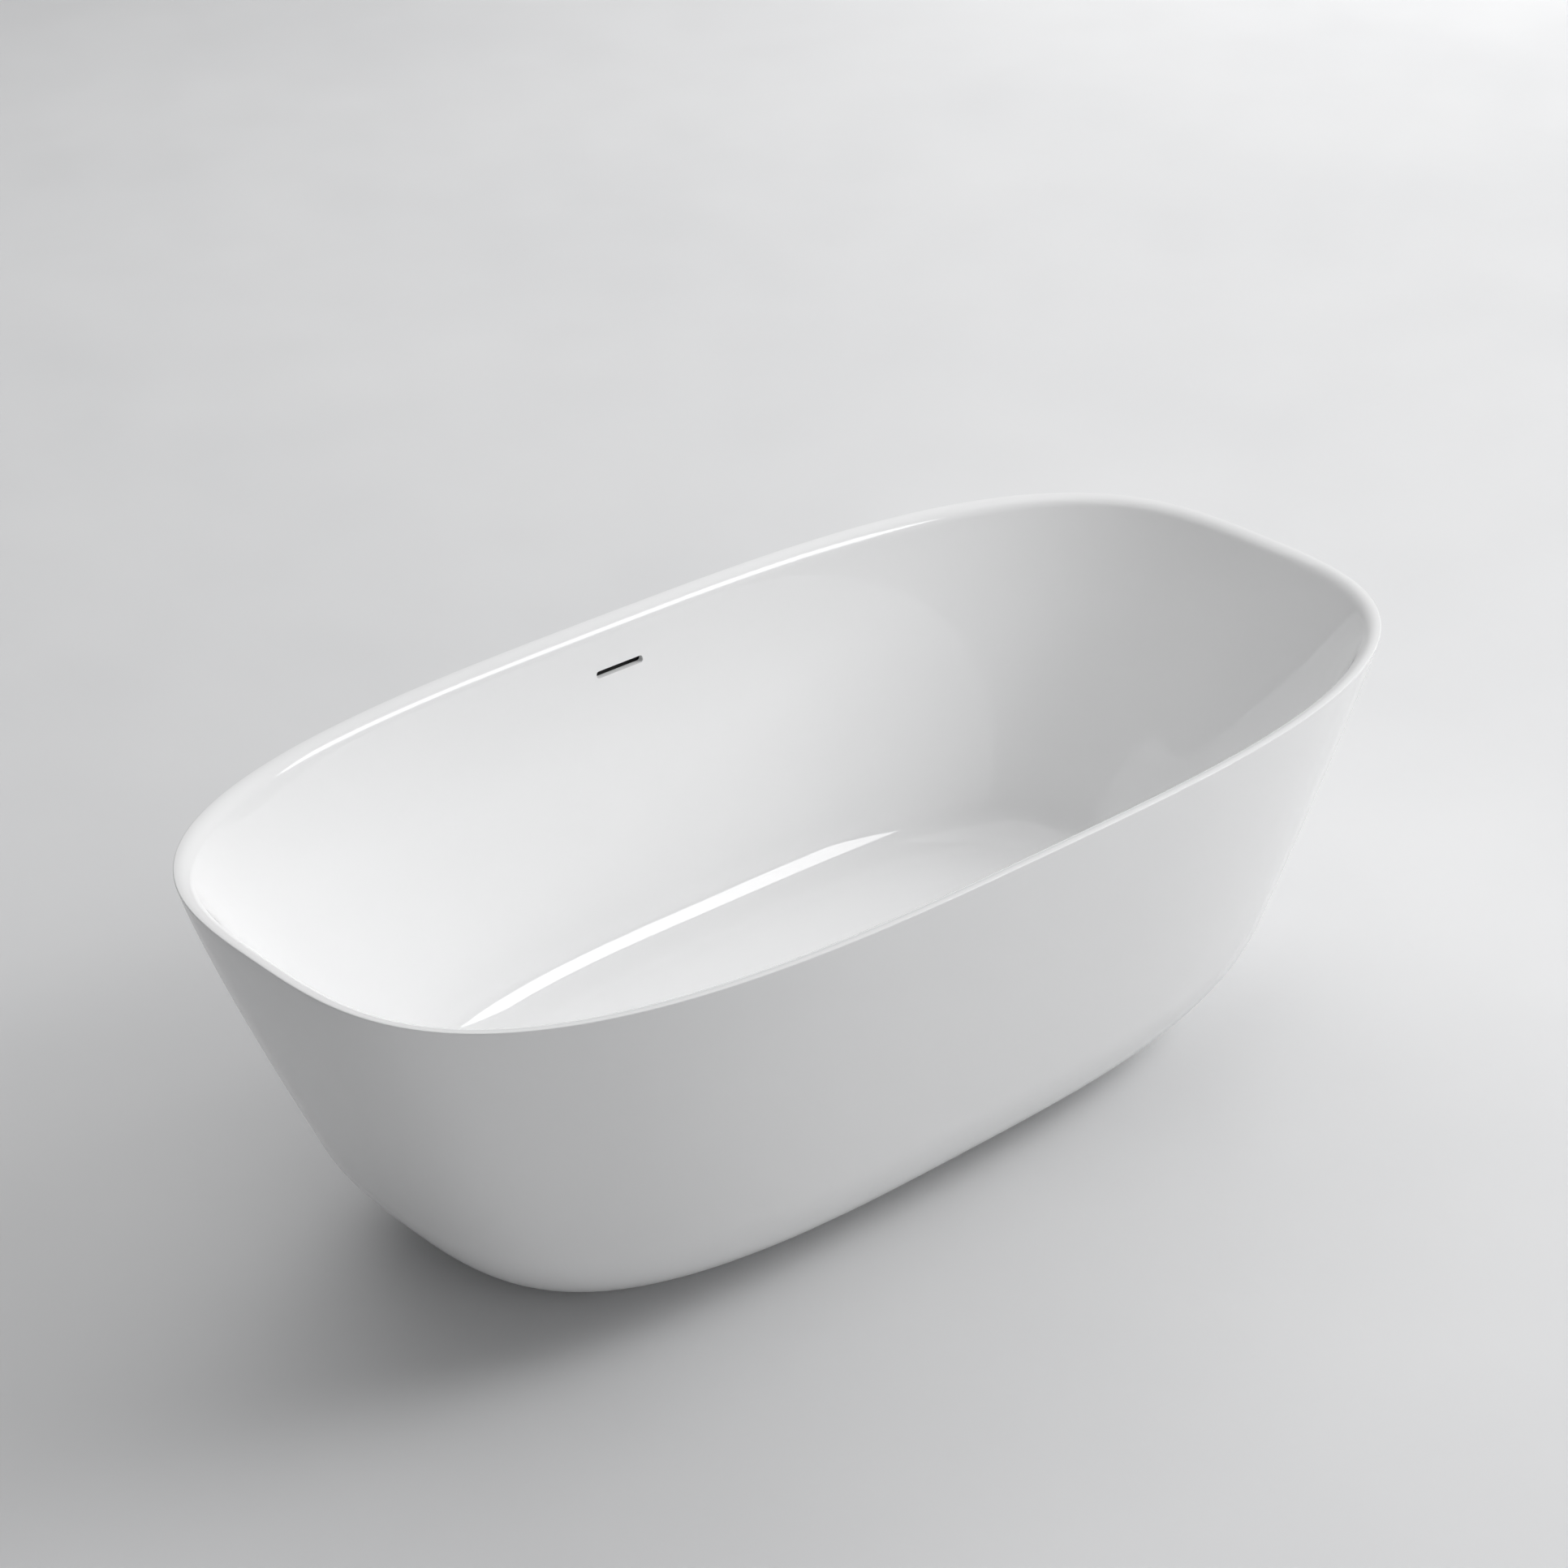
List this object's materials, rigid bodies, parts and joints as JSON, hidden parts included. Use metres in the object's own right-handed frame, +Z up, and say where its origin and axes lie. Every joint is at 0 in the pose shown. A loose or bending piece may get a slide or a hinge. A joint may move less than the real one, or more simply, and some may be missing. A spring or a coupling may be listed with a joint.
{
  "type": "freestanding bathtub",
  "caption": "Freestanding double-ended bathtub: one smooth bowed-rectangle shell that tapers to a tucked-under base, with a slot overflow and screw feet.",
  "frame": {"origin": "on the floor under the middle of the tub", "axes": "+X along the length, +Y towards the overflow slot, +Z up"},
  "size_m": [1.6996, 0.8496, 0.56],
  "materials": {
    "acrylic_white": "white sanitary acrylic, gloss inside and soft gloss outside",
    "plywood": "birch plywood, unfinished",
    "galvanised_steel": "hot-dip galvanised, dull spangle",
    "zinc_fastener": "bright zinc plate",
    "spring_steel": "drawn stainless wire",
    "polished_chrome": "mirror chrome",
    "brass": "turned, satin",
    "black_plastic": "moulded, fine texture",
    "white_plastic": "moulded polypropylene",
    "hose_plastic": "flexible corrugated hose",
    "black_rubber": "moulded, matt"
  },
  "bodies": {
    "tub": {"basin_shell": "acrylic_white", "apron_shell": "acrylic_white", "base_board": "plywood", "apron_braces": "plywood", "frame_rail_front": "galvanised_steel", "frame_rail_back": "galvanised_steel", "frame_cross_left": "galvanised_steel", "frame_cross_right": "galvanised_steel", "tube_end_caps": "black_plastic", "frame_screws": "zinc_fastener", "frame_weld_nuts": "zinc_fastener", "foot_jam_nuts": "zinc_fastener", "waste_flange": "polished_chrome", "plug_cartridge": "brass", "plug_spring": "spring_steel", "waste_gasket": "black_rubber", "waste_washer": "black_rubber", "overflow_gasket": "black_rubber", "waste_body": "white_plastic", "overflow_duct": "black_plastic", "overflow_hose": "hose_plastic", "hose_clips": "zinc_fastener"},
    "plug": {"plug_cap": "polished_chrome", "plug_seal": "black_rubber", "plug_stem": "brass"},
    "foot_pad_front_left": {"foot_sole_front_left": "black_rubber", "foot_cup_front_left": "black_plastic"},
    "foot_screw_front_left": {"foot_stud_front_left": "zinc_fastener"},
    "foot_pad_front_right": {"foot_sole_front_right": "black_rubber", "foot_cup_front_right": "black_plastic"},
    "foot_screw_front_right": {"foot_stud_front_right": "zinc_fastener"},
    "foot_pad_back_left": {"foot_sole_back_left": "black_rubber", "foot_cup_back_left": "black_plastic"},
    "foot_screw_back_left": {"foot_stud_back_left": "zinc_fastener"},
    "foot_pad_back_right": {"foot_sole_back_right": "black_rubber", "foot_cup_back_right": "black_plastic"},
    "foot_screw_back_right": {"foot_stud_back_right": "zinc_fastener"}
  },
  "joints": [
    {"name": "plug_lift", "type": "slide", "parent": "tub", "child": "plug", "axis": [0, 0, 1], "range_m": [0, 0.009], "deforming": ["plug_spring"]},
    {"name": "foot_height_front_left", "type": "slide", "parent": "tub", "child": "foot_pad_front_left", "axis": [0, 0, -1], "range_m": [-0.007, 0.007]},
    {"name": "foot_turn_front_left", "type": "hinge", "parent": "foot_pad_front_left", "child": "foot_screw_front_left", "pos_m": [-0.36, -0.12, 0.03], "axis": [0, 0, -1], "range_deg": [-1440, 1440]},
    {"name": "foot_height_front_right", "type": "slide", "parent": "tub", "child": "foot_pad_front_right", "axis": [0, 0, -1], "range_m": [-0.007, 0.007]},
    {"name": "foot_turn_front_right", "type": "hinge", "parent": "foot_pad_front_right", "child": "foot_screw_front_right", "pos_m": [0.36, -0.12, 0.03], "axis": [0, 0, -1], "range_deg": [-1440, 1440]},
    {"name": "foot_height_back_left", "type": "slide", "parent": "tub", "child": "foot_pad_back_left", "axis": [0, 0, -1], "range_m": [-0.007, 0.007]},
    {"name": "foot_turn_back_left", "type": "hinge", "parent": "foot_pad_back_left", "child": "foot_screw_back_left", "pos_m": [-0.36, 0.12, 0.03], "axis": [0, 0, -1], "range_deg": [-1440, 1440]},
    {"name": "foot_height_back_right", "type": "slide", "parent": "tub", "child": "foot_pad_back_right", "axis": [0, 0, -1], "range_m": [-0.007, 0.007]},
    {"name": "foot_turn_back_right", "type": "hinge", "parent": "foot_pad_back_right", "child": "foot_screw_back_right", "pos_m": [0.36, 0.12, 0.03], "axis": [0, 0, -1], "range_deg": [-1440, 1440]}
  ],
  "couplings": [
    {"joint": "foot_turn_front_left", "follows": "foot_height_front_left", "rad_per_m": 3590.4},
    {"joint": "foot_turn_front_right", "follows": "foot_height_front_right", "rad_per_m": 3590.4},
    {"joint": "foot_turn_back_left", "follows": "foot_height_back_left", "rad_per_m": 3590.4},
    {"joint": "foot_turn_back_right", "follows": "foot_height_back_right", "rad_per_m": 3590.4}
  ]
}
